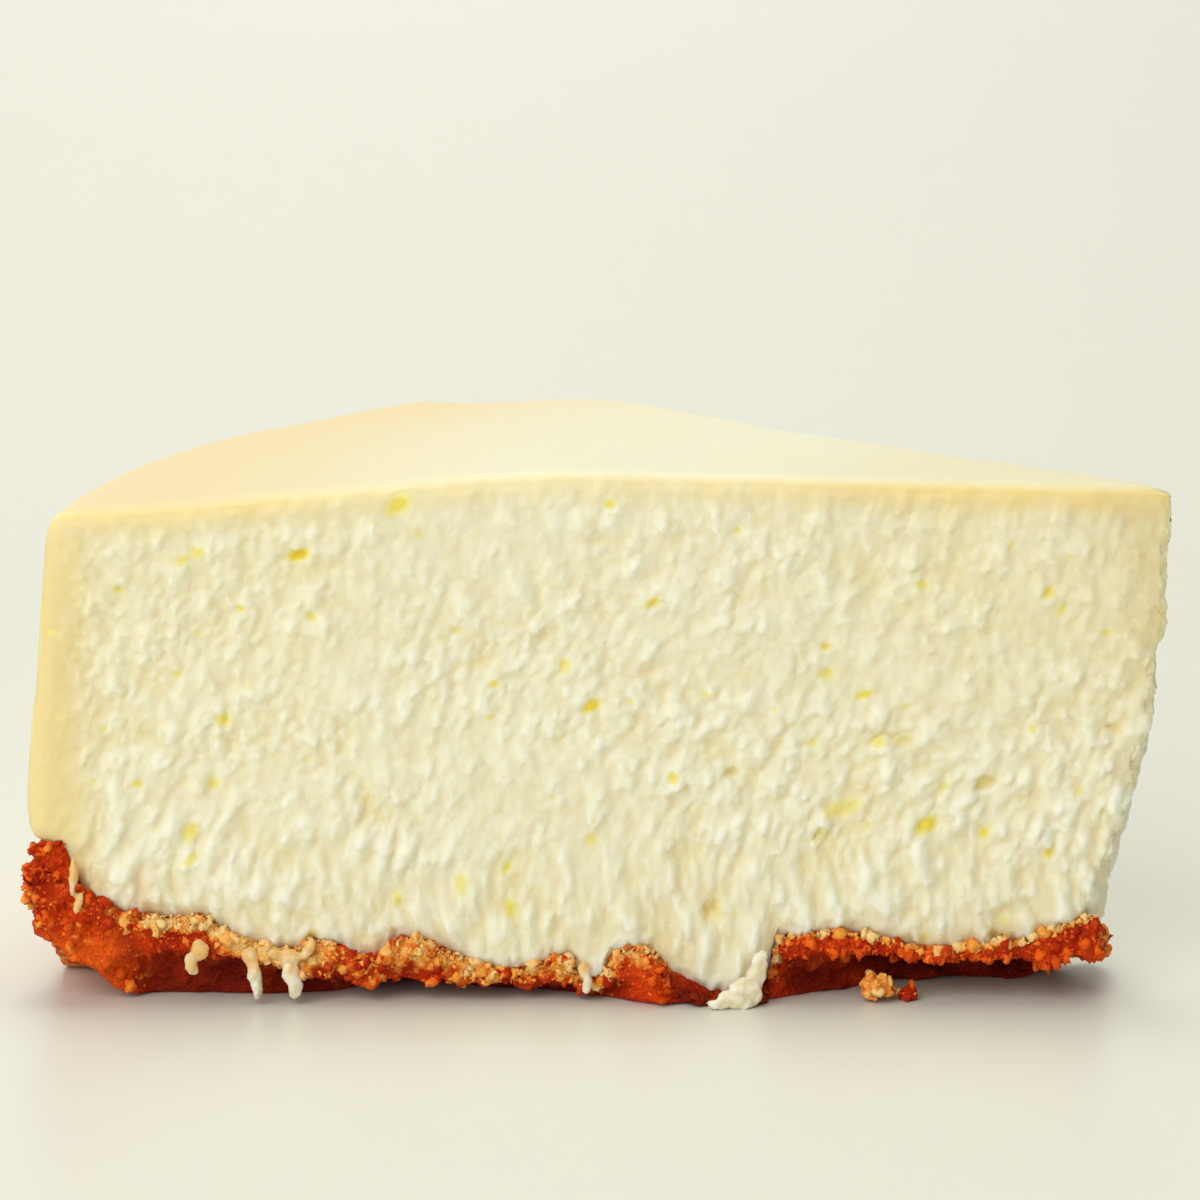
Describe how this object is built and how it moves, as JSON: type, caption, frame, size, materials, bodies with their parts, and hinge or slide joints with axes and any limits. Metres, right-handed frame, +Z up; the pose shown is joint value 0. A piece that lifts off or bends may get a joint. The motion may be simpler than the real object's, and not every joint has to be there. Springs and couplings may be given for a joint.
{
  "type": "baked cheesecake slice",
  "caption": "Tall wedge of plain baked cheesecake filling on a pressed crumb crust with a low crust wall round its rim.",
  "frame": {"origin": "middle of the slice's bounding box, on the surface that it stands on", "axes": "+X runs along the shown cut face from the rim to the tip, +Y runs away from that face to the far cut, +Z is up"},
  "size_m": [0.1138, 0.0824, 0.0547],
  "materials": {
    "filling": "creamy pale yellow baked curd, soft sheen, torn on the cut faces and smooth on top",
    "crust": "toasted golden brown biscuit crumb, coarse, with small buttery glints"
  },
  "bodies": {
    "root": {"filling": "filling", "crust": "crust"}
  },
  "joints": []
}
